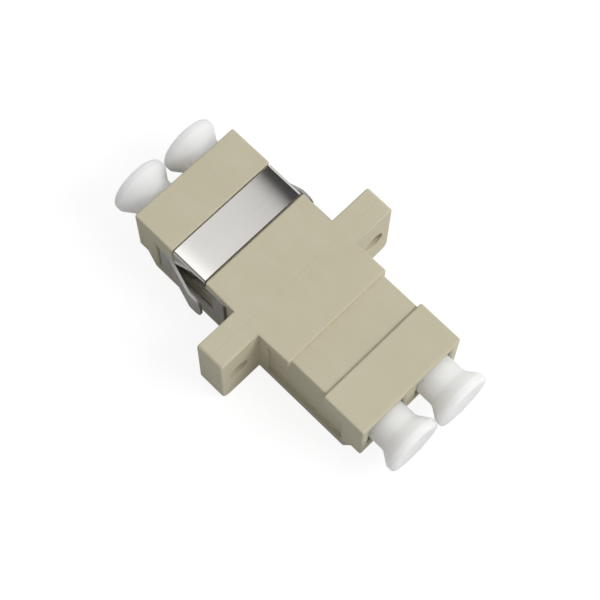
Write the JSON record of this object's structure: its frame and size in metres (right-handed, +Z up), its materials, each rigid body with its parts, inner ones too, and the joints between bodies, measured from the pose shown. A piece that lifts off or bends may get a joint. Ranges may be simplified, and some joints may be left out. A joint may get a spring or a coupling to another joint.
{
  "type": "lc fibre adapter",
  "caption": "Duplex bulkhead adapter that joins small push-pull fibre connectors end to end, with screw ears, a spring panel clip and pull-off dust plugs.",
  "frame": {"origin": "on the underside, at the middle of the width, in the plane where the two housing halves meet", "axes": "+X along the bores towards the half without the clip, +Y across the two ports, +Z up away from the latch side"},
  "size_m": [0.0373, 0.0224, 0.0093],
  "materials": {
    "beige_housing": "fine matt moulded beige plastic",
    "clip_steel": "bright rolled spring steel",
    "sleeve_bronze": "phosphor bronze, smooth",
    "plug_white": "soft milky white plastic, satin"
  },
  "bodies": {
    "adapter": {"housing_front": "beige_housing", "housing_rear": "beige_housing", "panel_clip": "clip_steel", "sleeve_left": "sleeve_bronze", "sleeve_right": "sleeve_bronze"},
    "front_left_plug": {"plug_front_left": "plug_white"},
    "front_right_plug": {"plug_front_right": "plug_white"},
    "rear_left_plug": {"plug_rear_left": "plug_white"},
    "rear_right_plug": {"plug_rear_right": "plug_white"}
  },
  "joints": [
    {"name": "plug_front_left_pull", "type": "slide", "parent": "adapter", "child": "front_left_plug", "axis": [1, 0, 0], "range_m": [0, 0.01]},
    {"name": "plug_front_right_pull", "type": "slide", "parent": "adapter", "child": "front_right_plug", "axis": [1, 0, 0], "range_m": [0, 0.01]},
    {"name": "plug_rear_left_pull", "type": "slide", "parent": "adapter", "child": "rear_left_plug", "axis": [-1, 0, 0], "range_m": [0, 0.01]},
    {"name": "plug_rear_right_pull", "type": "slide", "parent": "adapter", "child": "rear_right_plug", "axis": [-1, 0, 0], "range_m": [0, 0.01]}
  ]
}
